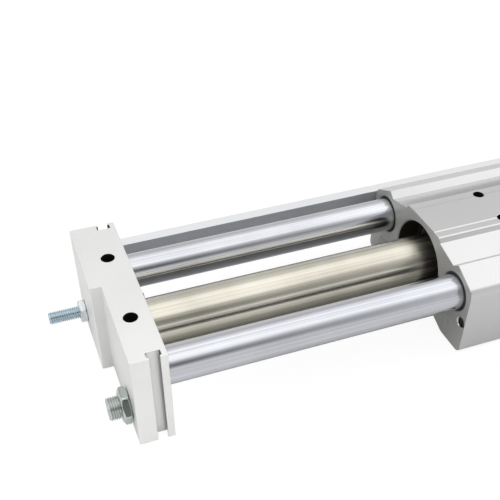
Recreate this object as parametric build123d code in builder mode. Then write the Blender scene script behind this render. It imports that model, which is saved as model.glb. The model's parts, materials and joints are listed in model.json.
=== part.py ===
from build123d import *
import math
import os

# Magnetically coupled rodless pneumatic cylinder with two guide rods.
# X runs along the tubes, Y across, Z up. The origin lies on the underside of the
# end plates, at mid length and mid width.

# Stroke and lengths along X
stroke = 250.0
carriage_length = 110.0
bolt_reach = 7.5          # adjusting bolt's tip, proud of the plate's inner face

# Heights above the underside and places across
rod_height = 27.4
tube_drop = 5.0           # tube axis below the rod axes
stop_drop = 16.8          # absorber and adjusting bolt axes below the rod axes
rail_gap = 1.3            # between the carriage's side and the sensor rail
rod_to_side = 12.2        # each rod's axis from the carriage's side

# End plates: thin on the absorber's half, thick on the adjusting bolt's half
plate_width = 90.0
plate_height = 46.4
thin_plate = 15.0
thick_plate = 20.0
step_offset = 2.2         # where the thickness changes, from the centre line
plate_edge_round = 0.5
slot_centre = 5.2         # T-slot's middle, from the plate's inner face
slot_opening = 4.2
slot_cavity = 5.8
slot_lip = 1.2
slot_depth = 3.9
tapped_hole_inset = 8.2   # top holes, from the plate's inner face
base_hole_inset = 6.0     # holes underneath, nearer the plate's inner face
tapped_hole_radius = 3.0
tapped_hole_wall = 0.5    # between a tapped hole and the rod's seat, seen from above
tapped_hole_depth = 12.0

# Guide rods
rod_radius = 8.0
rod_seat_depth = 10.0
rod_end_chamfer = 0.6
rod_air_radius = 2.5
rod_chamber_radius = 4.0
rod_chamber_depth = 2.5

# Cylinder tube and what seals it in the plates
tube_radius = 11.0
tube_wall = 1.0
tube_seat_depth = 9.0
tube_chamber_radius = 8.0
tube_chamber_depth = 3.0
seal_groove_start = 3.0
seal_groove_width = 2.6
seal_section_radius = 1.0
end_bumper_length = 5.0
end_bumper_bore = 4.0

# Air ports and the passage from the hollow rod to the tube
port_radius = 4.3
port_offset = 9.0
port_overlap = 1.5        # how far the port reaches into the tube's chamber
passage_radius = 1.4
passage_rise = 3.0        # passage axis above the tube axis
plug_length = 3.5
plug_recess = 0.5

# Shock absorbers
absorber_radius = 5.0
absorber_inside = 0.4     # body proud of the plate's inner face
absorber_outside = 9.2    # body proud of the plate's outer face
absorber_chamfer = 0.7
absorber_nut_flats = 14.0
absorber_nut_height = 4.0
absorber_nut_turn = 52.0
absorber_stroke = 6.0
absorber_rod_radius = 1.5
absorber_rod_grip = 13.0  # rod inside the body when it stands out
absorber_bore_spare = 1.0 # bore past the pressed-in rod
absorber_cap_radius = 2.5
absorber_cap_length = 1.6
absorber_cap_gap = 0.3    # pressed-in cap to the body

# Adjusting bolts and the form of every nut
bolt_radius = 3.0
bolt_outside = 17.2       # proud of the thick plate's outer face
bolt_chamfer = 0.6
bolt_socket_flats = 3.0
bolt_socket_depth = 3.0
bolt_nut_flats = 10.0
bolt_nut_height = 3.2
bolt_nut_turn = 18.0
nut_bevel_angle = 30.0    # degrees, from the nut's face
nut_bevel_inset = 0.1     # bevel's start, inside the flats
bumper_radius = 2.0
bumper_length = 5.0
bumper_proud = 1.5

# Carriage outline, from the rod axes: half widths and heights
table_half = 13.8
table_rise = 16.8
table_foot_half = 16.0
table_foot_rise = 13.9
valley_run = 3.4          # from the ridge inwards
valley_rise = 11.2
ridge_setback = 0.8       # from the rod's axis inwards
ridge_rise = 13.8
shoulder_rise = 7.4
shoulder_round = 5.0
leg_drop = 26.8
leg_round = 3.0
leg_width = 15.2
leg_inner_round = 1.5
arch_run = 9.0            # slope from the leg's foot up to the arch
arch_drop = 22.9
lobe_half = 14.5
magnet_housing_wall = 3.4

# Slider inside the carriage
slider_radius = 18.3
slider_wall = 2.8
slider_recess = 12.0      # slider's end face, behind the carriage's end face
clip_thickness = 1.5
clip_groove_depth = 1.0
clip_inner_radius = 16.3
clip_gap = 9.0
clip_lug_radius = 2.2
clip_eye_radius = 0.9
magnet_count = 4
magnet_length = 8.0
yoke_length = 4.0
outer_magnet_bore = 11.7
outer_yoke_bore = 11.4
scraper_length = 3.0
snap_ring_length = 1.2
snap_ring_bore = 13.8
snap_ring_setback = 0.8   # from the sleeve's end face

# Guide bushes and wipers in the carriage
bush_wall = 1.0
bush_length = 25.0
wiper_length = 3.0
wiper_recess = 0.3
end_clearance = 0.4       # wiper to bush, along the rod

# Small pieces in the carriage
strike_screw_radius = 2.5
strike_screw_length = 8.0
strike_socket_flats = 2.5
strike_socket_depth = 2.5
sensor_hole_wall = 3.2    # hole's axis from the carriage's side
sensor_hole_drop = 10.9
sensor_hole_radius = 2.4
sensor_magnet_length = 10.0
sensor_plug_length = 4.0
sensor_plug_recess = 0.9
plug_slot_width = 0.7
plug_slot_depth = 0.8
table_hole_spacing_x = 40.0
table_hole_spacing_y = 20.0
table_hole_radius = 2.5
table_hole_depth = 5.0

# Piston inside the tube
shaft_radius = 3.0
inner_magnet_radius = 9.3
inner_yoke_radius = 9.6
piston_length = 10.0
seal_groove_floor = 7.4
seal_width = 3.0
seal_setback = 1.5        # groove edges from the piston's faces
wear_groove_floor = 8.7
wear_width = 3.0
piston_nut_flats = 10.0
piston_nut_height = 5.0
shaft_proud = 1.0

# Sensor rail on the far side of the end plates
rail_thickness = 5.5
rail_height = 20.0
rail_rise = 5.1           # rail top above the rod axes
rail_end_inset = 1.0
sensor_slot_opening = 3.2
sensor_slot_cavity = 4.8
sensor_slot_lip = 1.2
sensor_slot_depth = 3.4
rail_screw_radius = 1.5
rail_screw_spacing = 12.0
rail_screw_head_radius = 2.75
rail_screw_head_height = 2.0
rail_screw_play = 0.2
rail_socket_flats = 2.0
rail_socket_depth = 1.2
rail_nut_width = 5.5
rail_nut_height = 2.2
rail_screw_tail = 0.5     # screw past the nut

# Clearances
running = 0.05            # a moving shaft or piston in its bore, on the radius

# Worked out from the sizes above
inner_x = (stroke + 2 * bolt_reach + carriage_length) / 2
tube_height = rod_height - tube_drop
sensor_height = rod_height - sensor_hole_drop
stop_height = rod_height - stop_drop
face_x = carriage_length / 2
carriage_half = plate_width / 2 - rail_gap
rod_offset = carriage_half - rod_to_side
tapped_hole_offset = rod_offset - rod_radius - tapped_hole_wall - tapped_hole_radius
ridge_half = rod_offset - ridge_setback
valley_half = ridge_half - valley_run
leg_inner_half = carriage_half - leg_width
arch_half = leg_inner_half - arch_run
sensor_hole_half = carriage_half - sensor_hole_wall
slider_half = face_x - slider_recess
stack_half = (magnet_count * magnet_length + (magnet_count + 1) * yoke_length) / 2
slider_bore = slider_radius - slider_wall
scraper_start = slider_half - snap_ring_setback - snap_ring_length - scraper_length
slider_wear_length = scraper_start - stack_half
tube_bore = tube_radius - tube_wall
bush_radius = rod_radius + bush_wall
rail_top = rod_height + rail_rise
sensor_hole_depth = sensor_plug_recess + sensor_plug_length + sensor_magnet_length
rail_y = plate_width / 2
sides = (-1, 1)


def disc(x, length, y, z, outer, inner=0.0, mode=Mode.ADD):
    """Round bar or ring along X, from x on by a signed length."""
    with BuildSketch(Plane.YZ.offset(x)) as section:
        with Locations((y, z)):
            Circle(outer)
            if inner:
                Circle(inner, mode=Mode.SUBTRACT)
    extrude(section.sketch, amount=length, mode=mode)


def hexagon(x, length, y, z, flats, turn=0.0, mode=Mode.ADD):
    """Hexagonal bar along X, its corners turned from +Y towards +Z."""
    with BuildSketch(Plane.YZ.offset(x)) as section:
        with Locations((y, z)):
            RegularPolygon(flats / math.sqrt(3), 6, rotation=turn)
    extrude(section.sketch, amount=length, mode=mode)


def turned(profile, y, z, mode=Mode.ADD):
    """Solid of revolution about a line along X; profile is (x, radius) points."""
    with BuildSketch(Plane(origin=(0, y, z), x_dir=(1, 0, 0), z_dir=(0, -1, 0))) as half:
        with BuildLine():
            Polyline(*profile, close=True)
        make_face()
    revolve(half.sketch, axis=Axis((0, y, z), (1, 0, 0)), mode=mode)


def chamfered_bar(start, end, y, z, radius, bevel):
    """Round bar along X with both ends chamfered."""
    low, high = min(start, end), max(start, end)
    turned([(low, 0), (low, radius - bevel), (low + bevel, radius),
            (high - bevel, radius), (high, radius - bevel), (high, 0)], y, z)


def chamfered_nut(x, length, y, z, flats, turn, bore):
    """Hexagon nut along X, its corners trimmed by a cone on the outer face."""
    corner = flats / math.sqrt(3)
    bevel_start = flats / 2 - nut_bevel_inset
    trim = (corner - bevel_start) * math.tan(math.radians(nut_bevel_angle))
    hexagon(x, length, y, z, flats, turn)
    end = x + length
    turned([(x, 0), (x, corner), (end - math.copysign(trim, length), corner),
            (end, bevel_start), (end, 0)], y, z, mode=Mode.INTERSECT)
    disc(x, length, y, z, bore, mode=Mode.SUBTRACT)


def save(piece, name):
    """Label a finished piece and write it to its own file."""
    piece.part.label = name
    export_step(piece.part, f"parts/{name}.step")


def plate_outline(side):
    """Plan of an end plate: two thicknesses and a T-slot in each end face."""
    half = plate_width / 2

    def point(depth, y):
        return (side * (inner_x + depth), y)

    near = slot_centre - slot_opening / 2
    far = slot_centre + slot_opening / 2
    wide_near = slot_centre - slot_cavity / 2
    wide_far = slot_centre + slot_cavity / 2
    lip = half - slot_lip
    floor = half - slot_depth
    slot = [(near, half), (near, lip), (wide_near, lip), (wide_near, floor),
            (wide_far, floor), (wide_far, lip), (far, lip), (far, half)]
    points = [point(0, -half)]
    points += [point(depth, -y) for depth, y in slot]
    points += [point(thin_plate, -half), point(thin_plate, step_offset),
               point(thick_plate, step_offset), point(thick_plate, half)]
    points += [point(depth, y) for depth, y in reversed(slot)]
    points += [point(0, half)]
    return points


def end_plate(side):
    """End plate with its seats, stops and tapped holes; side is -1 or 1."""
    inner = side * inner_x
    with BuildPart() as plate:
        with BuildSketch():
            with BuildLine():
                Polyline(*plate_outline(side), close=True)
            make_face()
        extrude(amount=plate_height)
        corners = plate.edges().filter_by(Axis.Z).filter_by(
            lambda edge: abs(edge.center().X) > inner_x + thin_plate - 0.1
            and abs(edge.center().Y) > step_offset + 0.1)
        fillet(corners, plate_edge_round)
        for y in (-rod_offset, rod_offset):
            disc(inner, side * rod_seat_depth, y, rod_height, rod_radius, mode=Mode.SUBTRACT)
        disc(inner + side * rod_seat_depth, side * rod_chamber_depth, rod_offset, rod_height,
             rod_chamber_radius, mode=Mode.SUBTRACT)
        disc(inner, side * tube_seat_depth, 0, tube_height, tube_radius, mode=Mode.SUBTRACT)
        disc(inner + side * tube_seat_depth, side * tube_chamber_depth, 0, tube_height,
             tube_chamber_radius, mode=Mode.SUBTRACT)
        disc(inner + side * seal_groove_start, side * seal_groove_width, 0, tube_height,
             tube_radius + 2 * seal_section_radius, mode=Mode.SUBTRACT)
        disc(inner, side * thin_plate, -rod_offset, stop_height, absorber_radius,
             mode=Mode.SUBTRACT)
        disc(inner, side * thick_plate, rod_offset, stop_height, bolt_radius + running,
             mode=Mode.SUBTRACT)
        for z, way, inset in ((0, 1, base_hole_inset), (plate_height, -1, tapped_hole_inset)):
            hole_x = side * (inner_x + inset)
            with BuildSketch(Plane.XY.offset(z)):
                with Locations((hole_x, -tapped_hole_offset), (hole_x, tapped_hole_offset)):
                    Circle(tapped_hole_radius)
            extrude(amount=way * tapped_hole_depth, mode=Mode.SUBTRACT)
        if side < 0:
            passage_x = inner + side * (tube_seat_depth + tube_chamber_depth / 2)
            with BuildSketch(Plane.XZ.offset(-plate_width / 2)):
                with Locations((passage_x, tube_height + passage_rise)):
                    Circle(passage_radius)
            extrude(amount=plate_width / 2, mode=Mode.SUBTRACT)
        else:
            outer = inner_x + thick_plate
            depth = thick_plate - tube_seat_depth - tube_chamber_depth + port_overlap
            disc(outer, -depth, port_offset, tube_height, port_radius, mode=Mode.SUBTRACT)
            disc(outer, -(thick_plate - rod_seat_depth - rod_chamber_depth), rod_offset,
                 rod_height, port_radius, mode=Mode.SUBTRACT)
    return plate


def end_plates():
    save(end_plate(-1), "left_end_plate")
    save(end_plate(1), "right_end_plate")


def passage_plug():
    """Plug that closes the drilled air passage at the left plate's far end face."""
    x = -(inner_x + tube_seat_depth + tube_chamber_depth / 2)
    with BuildPart() as plug:
        with BuildSketch(Plane.XZ.offset(plug_recess - plate_width / 2)):
            with Locations((x, tube_height + passage_rise)):
                Circle(passage_radius)
        extrude(amount=plug_length)
    save(plug, "passage_plug")


def guide_rods():
    """Front rod is solid; the rear one is hollow and carries air to the left plate."""
    end = inner_x + rod_seat_depth
    with BuildPart() as front:
        chamfered_bar(-end, end, -rod_offset, rod_height, rod_radius, rod_end_chamfer)
    save(front, "front_guide_rod")
    with BuildPart() as rear:
        chamfered_bar(-end, end, rod_offset, rod_height, rod_radius, rod_end_chamfer)
        disc(-end, 2 * end, rod_offset, rod_height, rod_air_radius, mode=Mode.SUBTRACT)
    save(rear, "rear_guide_rod")


def tube_and_seals():
    end = inner_x + tube_seat_depth
    with BuildPart() as tube:
        disc(-end, 2 * end, 0, tube_height, tube_radius, tube_bore)
    save(tube, "cylinder_tube")
    with BuildPart() as rings:
        for side in sides:
            x = side * (inner_x + seal_groove_start + seal_groove_width / 2)
            with BuildSketch(Plane(origin=(x, 0, tube_height), x_dir=(1, 0, 0), z_dir=(0, -1, 0))):
                with Locations((0, tube_radius + seal_section_radius)):
                    Circle(seal_section_radius)
            revolve(axis=Axis((x, 0, tube_height), (1, 0, 0)))
    save(rings, "tube_seal_rings")
    with BuildPart() as bumpers:
        for side in sides:
            disc(side * end, -side * end_bumper_length, 0, tube_height, tube_bore,
                 end_bumper_bore)
    save(bumpers, "tube_end_bumpers")


def shock_absorber(side, name):
    """Threaded body through the thin half of the plate, its lock nut and its pressed-in rod."""
    outer_end = side * (inner_x + thin_plate + absorber_outside)
    inner_end = side * (inner_x - absorber_inside)
    rod_tip = inner_end - side * (absorber_cap_gap + absorber_cap_length)
    rod_inside = absorber_rod_grip + absorber_stroke
    rod_root = inner_end + side * rod_inside
    bore = rod_inside + absorber_bore_spare
    place = (-rod_offset, stop_height)
    with BuildPart() as body:
        chamfered_bar(outer_end, inner_end, *place, absorber_radius, absorber_chamfer)
        disc(inner_end, side * bore, *place, absorber_rod_radius + running, mode=Mode.SUBTRACT)
    save(body, f"{name}_absorber_body")
    with BuildPart() as nut:
        chamfered_nut(side * (inner_x + thin_plate), side * absorber_nut_height, *place,
                      absorber_nut_flats, absorber_nut_turn, absorber_radius)
    save(nut, f"{name}_absorber_nut")
    with BuildPart() as rod:
        disc(rod_root, rod_tip - rod_root, *place, absorber_rod_radius)
        disc(rod_tip, side * absorber_cap_length, *place, absorber_cap_radius)
    save(rod, f"{name}_absorber_rod")


def adjusting_bolt(side, name):
    """Stop bolt with a soft tip, through the thick half of the plate, and its nut."""
    outer_end = side * (inner_x + thick_plate + bolt_outside)
    steel_end = side * (inner_x - bolt_reach + bumper_proud)
    place = (rod_offset, stop_height)
    with BuildPart() as bolt:
        chamfered_bar(outer_end, steel_end, *place, bolt_radius, bolt_chamfer)
        hexagon(outer_end, -side * bolt_socket_depth, *place, bolt_socket_flats,
                mode=Mode.SUBTRACT)
        disc(steel_end, side * (bumper_length - bumper_proud), *place, bumper_radius,
             mode=Mode.SUBTRACT)
    save(bolt, f"{name}_adjusting_bolt")
    with BuildPart() as bumper:
        disc(steel_end - side * bumper_proud, side * bumper_length, *place, bumper_radius)
    save(bumper, f"{name}_bolt_bumper")
    with BuildPart() as nut:
        chamfered_nut(side * (inner_x + thick_plate), side * bolt_nut_height, *place,
                      bolt_nut_flats, bolt_nut_turn, bolt_radius + running)
    save(nut, f"{name}_bolt_nut")


def stops():
    for side, name in ((-1, "left"), (1, "right")):
        shock_absorber(side, name)
        adjusting_bolt(side, name)


def carriage_section():
    """Section of the carriage extrusion, with a round housing below the slider."""
    lobe_radius = slider_radius + magnet_housing_wall
    lobe_edge = -tube_drop - math.sqrt(lobe_radius ** 2 - lobe_half ** 2)
    half = [(table_half, table_rise), (table_foot_half, table_foot_rise),
            (valley_half, valley_rise), (ridge_half, ridge_rise),
            (carriage_half, shoulder_rise), (carriage_half, -leg_drop),
            (leg_inner_half, -leg_drop), (arch_half, -arch_drop), (lobe_half, lobe_edge)]
    right = [(y, rod_height + z) for y, z in half]
    left = [(-y, z) for y, z in reversed(right)]
    with BuildSketch(Plane.YZ.offset(-face_x)) as section:
        with BuildLine():
            Polyline(*left, *right)
            ThreePointArc(right[-1], (0, tube_height - lobe_radius), left[0])
        make_face()
    return section.sketch


def long_edges(body, half, rise):
    """Edges along X at a distance either side of the middle and a height above the rods."""
    return body.edges().filter_by(Axis.X).filter_by(
        lambda edge: abs(abs(edge.center().Y) - half) < 0.01
        and abs(edge.center().Z - rod_height - rise) < 0.01)


def carriage_body():
    with BuildPart() as body:
        extrude(carriage_section(), amount=carriage_length)
        fillet(long_edges(body, carriage_half, shoulder_rise), shoulder_round)
        fillet(long_edges(body, carriage_half, -leg_drop), leg_round)
        fillet(long_edges(body, leg_inner_half, -leg_drop), leg_inner_round)
        disc(-face_x, carriage_length, 0, tube_height, slider_radius, mode=Mode.SUBTRACT)
        for y in (-rod_offset, rod_offset):
            disc(-face_x, carriage_length, y, rod_height, bush_radius, mode=Mode.SUBTRACT)
        for side in sides:
            disc(side * slider_half, side * clip_thickness, 0, tube_height,
                 slider_radius + clip_groove_depth, mode=Mode.SUBTRACT)
            for half in sides:
                disc(side * face_x, -side * strike_screw_length, half * rod_offset, stop_height,
                     strike_screw_radius, mode=Mode.SUBTRACT)
                disc(side * face_x, -side * sensor_hole_depth, half * sensor_hole_half,
                     sensor_height, sensor_hole_radius, mode=Mode.SUBTRACT)
        with BuildSketch(Plane.XY.offset(rod_height + table_rise)):
            with GridLocations(table_hole_spacing_x, table_hole_spacing_y, 2, 2):
                Circle(table_hole_radius)
        extrude(amount=-table_hole_depth, mode=Mode.SUBTRACT)
    save(body, "carriage_body")


def strike_screws():
    """Hardened set screws in the carriage's end faces, where the stops strike."""
    with BuildPart() as screws:
        for side in sides:
            for half in sides:
                place = (half * rod_offset, stop_height)
                disc(side * face_x, -side * strike_screw_length, *place, strike_screw_radius)
                hexagon(side * face_x, -side * strike_socket_depth, *place,
                        strike_socket_flats, mode=Mode.SUBTRACT)
    save(screws, "strike_screws")


def sensor_magnets():
    """Bar magnets for the position sensors, each behind a slotted plug."""
    outer = face_x - sensor_plug_recess
    with BuildPart() as magnets:
        for side in sides:
            for half in sides:
                disc(side * (outer - sensor_plug_length), -side * sensor_magnet_length,
                     half * sensor_hole_half, sensor_height, sensor_hole_radius)
    save(magnets, "sensor_magnets")
    with BuildPart() as plugs:
        for side in sides:
            for half in sides:
                disc(side * outer, -side * sensor_plug_length, half * sensor_hole_half,
                     sensor_height, sensor_hole_radius)
        for side in sides:
            with BuildSketch(Plane.YZ.offset(side * outer)):
                with Locations((-sensor_hole_half, sensor_height),
                               (sensor_hole_half, sensor_height)):
                    Rectangle(plug_slot_width, 2 * sensor_hole_radius)
            extrude(amount=-side * plug_slot_depth, mode=Mode.SUBTRACT)
    save(plugs, "sensor_magnet_plugs")


def guide_bushes():
    """Two dry bushes and two wipers on each guide rod, pressed into the carriage."""
    wiper_end = face_x - wiper_recess
    bush_end = wiper_end - wiper_length - end_clearance
    for y, name in ((-rod_offset, "front"), (rod_offset, "rear")):
        with BuildPart() as bushes:
            for side in sides:
                disc(side * bush_end, -side * bush_length, y, rod_height, bush_radius,
                     rod_radius + running)
        save(bushes, f"{name}_rod_bushes")
        with BuildPart() as wipers:
            for side in sides:
                disc(side * wiper_end, -side * wiper_length, y, rod_height, bush_radius,
                     rod_radius + running)
        save(wipers, f"{name}_rod_wipers")


def stack(magnet_outer, magnet_inner, yoke_outer, yoke_inner):
    """Magnet rings between yoke rings, centred at mid length."""
    pitch = magnet_length + yoke_length
    with BuildPart() as magnets:
        for index in range(magnet_count):
            disc(-stack_half + yoke_length + index * pitch, magnet_length, 0, tube_height,
                 magnet_outer, magnet_inner)
    with BuildPart() as yokes:
        for index in range(magnet_count + 1):
            disc(-stack_half + index * pitch, yoke_length, 0, tube_height,
                 yoke_outer, yoke_inner)
    return magnets, yokes


def slider():
    """Magnet carrier inside the carriage's large bore, from the sleeve inwards."""
    with BuildPart() as sleeve:
        disc(-slider_half, 2 * slider_half, 0, tube_height, slider_radius, slider_bore)
    save(sleeve, "slider_sleeve")
    magnets, yokes = stack(slider_bore, outer_magnet_bore, slider_bore, outer_yoke_bore)
    save(magnets, "outer_magnets")
    save(yokes, "outer_yokes")
    inner = tube_radius + running
    pieces = (("slider_wear_rings", slider_wear_length, inner),
              ("slider_scrapers", scraper_length, inner),
              ("slider_snap_rings", snap_ring_length, snap_ring_bore))
    start = stack_half
    for name, length, bore in pieces:
        with BuildPart() as rings:
            for side in sides:
                disc(side * start, side * length, 0, tube_height, slider_bore, bore)
        save(rings, name)
        start += length


def carriage_clips():
    """Open retaining rings that hold the slider in the carriage, gap at the top."""
    outer = slider_radius + clip_groove_depth
    lug_height = tube_height + clip_inner_radius - clip_lug_radius / 2
    lug_half = clip_gap / 2 + clip_lug_radius / 2
    lugs = ((-lug_half, lug_height), (lug_half, lug_height))
    with BuildPart() as clips:
        for side in sides:
            with BuildSketch(Plane.YZ.offset(side * slider_half)):
                with Locations((0, tube_height)):
                    Circle(outer)
                    Circle(clip_inner_radius, mode=Mode.SUBTRACT)
                with Locations((0, tube_height + outer)):
                    Rectangle(clip_gap, outer, mode=Mode.SUBTRACT)
                with Locations(*lugs):
                    Circle(clip_lug_radius)
                    Circle(clip_eye_radius, mode=Mode.SUBTRACT)
            extrude(amount=side * clip_thickness)
    save(clips, "carriage_clips")


def piston():
    """Magnet piston that runs in the tube and pulls the carriage along."""
    magnets, yokes = stack(inner_magnet_radius, shaft_radius, inner_yoke_radius, shaft_radius)
    save(magnets, "inner_magnets")
    save(yokes, "inner_yokes")
    outer = tube_bore - running
    nut_start = stack_half + piston_length
    shaft_end = nut_start + piston_nut_height + shaft_proud
    with BuildPart() as shaft:
        disc(-shaft_end, 2 * shaft_end, 0, tube_height, shaft_radius)
    save(shaft, "piston_shaft")
    seal_start = nut_start - seal_setback - seal_width
    wear_start = stack_half + seal_setback
    with BuildPart() as pistons:
        for side in sides:
            disc(side * stack_half, side * piston_length, 0, tube_height, outer, shaft_radius)
            disc(side * seal_start, side * seal_width, 0, tube_height, outer,
                 seal_groove_floor, mode=Mode.SUBTRACT)
            disc(side * wear_start, side * wear_width, 0, tube_height, outer,
                 wear_groove_floor, mode=Mode.SUBTRACT)
    save(pistons, "pistons")
    with BuildPart() as seals:
        for side in sides:
            disc(side * seal_start, side * seal_width, 0, tube_height, outer,
                 seal_groove_floor)
    save(seals, "piston_seals")
    with BuildPart() as bands:
        for side in sides:
            disc(side * wear_start, side * wear_width, 0, tube_height, outer,
                 wear_groove_floor)
    save(bands, "piston_wear_bands")
    with BuildPart() as nuts:
        chamfered_nut(nut_start, piston_nut_height, 0, tube_height, piston_nut_flats, 0,
                      shaft_radius)
        mirror(about=Plane.YZ)
    save(nuts, "piston_nuts")


def rail_heights():
    middle = rail_top - rail_height / 2
    return (middle - rail_screw_spacing / 2, middle + rail_screw_spacing / 2)


def rail_spots():
    """Screw places on the rail: two at each plate's T-slot."""
    return [(side * (inner_x + slot_centre), z) for side in sides for z in rail_heights()]


def drilled(y, length, radius, inner=0.0, mode=Mode.ADD):
    """Round bars or holes along Y at every rail screw, from y on by a signed length."""
    with BuildSketch(Plane.XZ.offset(-y)) as section:
        with Locations(*rail_spots()):
            Circle(radius)
            if inner:
                Circle(inner, mode=Mode.SUBTRACT)
    extrude(section.sketch, amount=-length, mode=mode)


def sensor_rail():
    """Flat bar with a sensor slot in its outer face, screwed to the plates' T-slots."""
    end = inner_x + thick_plate - rail_end_inset
    outer = rail_y + rail_thickness
    middle = rail_top - rail_height / 2
    with BuildPart() as rail:
        with BuildSketch(Plane.YZ.offset(-end)):
            with Locations((rail_y + rail_thickness / 2, middle)):
                Rectangle(rail_thickness, rail_height)
            for depth_start, depth_end, width in (
                    (0, sensor_slot_lip, sensor_slot_opening),
                    (sensor_slot_lip, sensor_slot_depth, sensor_slot_cavity)):
                with Locations((outer - (depth_start + depth_end) / 2, middle)):
                    Rectangle(depth_end - depth_start, width, mode=Mode.SUBTRACT)
        extrude(amount=2 * end)
        drilled(rail_y, rail_thickness, rail_screw_radius + rail_screw_play,
                mode=Mode.SUBTRACT)
        drilled(outer, -rail_screw_head_height, rail_screw_head_radius + rail_screw_play,
                mode=Mode.SUBTRACT)
    save(rail, "sensor_rail")


def rail_fasteners():
    """Socket screws through the rail into square nuts behind the T-slots' lips."""
    outer = rail_y + rail_thickness
    head_base = outer - rail_screw_head_height
    nut_face = plate_width / 2 - slot_lip
    with BuildPart() as screws:
        drilled(head_base, rail_screw_head_height, rail_screw_head_radius)
        drilled(head_base, nut_face - rail_nut_height - rail_screw_tail - head_base,
                rail_screw_radius)
        with BuildSketch(Plane.XZ.offset(-outer)):
            with Locations(*rail_spots()):
                RegularPolygon(rail_socket_flats / math.sqrt(3), 6)
        extrude(amount=rail_socket_depth, mode=Mode.SUBTRACT)
    save(screws, "rail_screws")
    with BuildPart() as nuts:
        with BuildSketch(Plane.XZ.offset(-nut_face)):
            with Locations(*rail_spots()):
                Rectangle(rail_nut_width, rail_nut_width)
                Circle(rail_screw_radius, mode=Mode.SUBTRACT)
        extrude(amount=rail_nut_height)
    save(nuts, "rail_nuts")


os.makedirs("parts", exist_ok=True)
end_plates()
passage_plug()
guide_rods()
tube_and_seals()
stops()
carriage_body()
strike_screws()
sensor_magnets()
guide_bushes()
slider()
carriage_clips()
piston()
sensor_rail()
rail_fasteners()
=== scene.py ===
# %% [markdown]
# # Rodless pneumatic cylinder with two guide rods
# A carriage slides along a stainless tube, pulled by magnets on a piston inside it. Two chrome rods
# guide it, and two aluminium end plates hold everything. The frame already knows where each piece
# lies, so this scene dresses those pieces: smooth bodies with real edge breaks, cut threads, and a
# finish for every metal. First the imported frame comes in.

# %% Load the frame
import json
import math

import bmesh
import bpy
import numpy as np
from mathutils import Matrix, Vector


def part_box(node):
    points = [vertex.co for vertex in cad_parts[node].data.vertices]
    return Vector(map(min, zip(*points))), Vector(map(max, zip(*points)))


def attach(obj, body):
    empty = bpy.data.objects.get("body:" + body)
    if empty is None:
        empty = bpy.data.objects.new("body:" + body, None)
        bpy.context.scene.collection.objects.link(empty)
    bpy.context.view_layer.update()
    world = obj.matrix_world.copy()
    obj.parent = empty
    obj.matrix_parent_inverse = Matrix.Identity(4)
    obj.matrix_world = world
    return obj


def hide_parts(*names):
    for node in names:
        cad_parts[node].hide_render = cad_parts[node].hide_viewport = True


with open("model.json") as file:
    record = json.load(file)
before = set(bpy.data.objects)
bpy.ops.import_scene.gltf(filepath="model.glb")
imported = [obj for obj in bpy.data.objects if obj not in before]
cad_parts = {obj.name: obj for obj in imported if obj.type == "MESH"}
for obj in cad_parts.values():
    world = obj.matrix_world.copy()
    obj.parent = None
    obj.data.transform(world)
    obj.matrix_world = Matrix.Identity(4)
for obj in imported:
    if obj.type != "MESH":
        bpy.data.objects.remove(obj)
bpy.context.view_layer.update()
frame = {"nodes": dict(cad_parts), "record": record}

MM = 0.001
record = frame["record"]
body_of = {node: body for body, names in record["behaviour"]["bodies"].items() for node in names}

# %% [markdown]
# ## The camera
# The photograph looks down on the left end plate, past its corner and along the rods. The lens
# shift stands in for the crop: the picture is the lower left part of a larger view.

# %% Place the camera
EYE = Vector((-231.408, -248.175, 251.657)) * MM
HEADING = math.radians(19.0279)   # from +Y towards +X
DIP = math.radians(42.0144)       # below the horizon
ROLL = math.radians(-0.8053)      # turned about the line of sight
LENS = 56.692                     # on a 36 mm wide sensor
SHIFT = (0.030265, 0.129689)


def camera_axes(heading, dip, roll):
    """Right, up and backward directions of a camera that looks along heading, dipped and rolled."""
    level_part = math.cos(dip)
    forward = Vector((math.sin(heading) * level_part, math.cos(heading) * level_part, -math.sin(dip)))
    level = forward.cross(Vector((0, 0, 1))).normalized()
    upright = level.cross(forward)
    right = level * math.cos(roll) + upright * math.sin(roll)
    up = upright * math.cos(roll) - level * math.sin(roll)
    return right, up, -forward


right, up, back = camera_axes(HEADING, DIP, ROLL)
lens = bpy.data.cameras.new("studio_camera")
lens.sensor_width = 36.0
lens.lens = LENS
lens.shift_x, lens.shift_y = SHIFT
lens.clip_start, lens.clip_end = 0.01, 50.0
camera = bpy.data.objects.new("studio_camera", lens)
camera.matrix_world = Matrix.Translation(EYE) @ Matrix((right, up, back)).transposed().to_4x4()
bpy.context.scene.collection.objects.link(camera)
bpy.context.scene.camera = camera
bpy.context.scene.view_settings.view_transform = "Standard"
print("camera at", [round(v / MM, 1) for v in camera.location], "mm")

# %% [markdown]
# ## Where the pieces lie
# Sizes that the frame can tell are measured from it, so that a smooth piece lands exactly on the
# plain one that it stands for. A round bar along X is known by its ends, its axis and its radius.

# %% Measure bars and blocks from the frame
def corners(node):
    """Lowest and highest corner of a frame piece."""
    low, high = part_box(node)
    return np.array(low), np.array(high)


def bar(node):
    """Ends along X, place across and radius of a round bar along X."""
    low, high = corners(node)
    middle = (low + high) / 2
    return {"ends": (low[0], high[0]), "y": middle[1], "z": middle[2], "r": (high[1] - low[1]) / 2}


plate_high = corners("left_end_plate")[1]
carriage_high = corners("carriage_body")[1]
rail_low, rail_high = corners("sensor_rail")
rod = bar("rear_guide_rod")
tube = bar("cylinder_tube")
bolt = bar("left_adjusting_bolt")
INNER_X = -plate_high[0]
ROD_Y, ROD_Z, ROD_R = rod["y"], rod["z"], rod["r"]
TUBE_Z, TUBE_R = tube["z"], tube["r"]
STOP_Z = bolt["z"]
print(f"rods {ROD_Y / MM:.1f} mm off the middle, {ROD_Z / MM:.1f} mm up; tube {TUBE_Z / MM:.1f} mm up")

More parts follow.
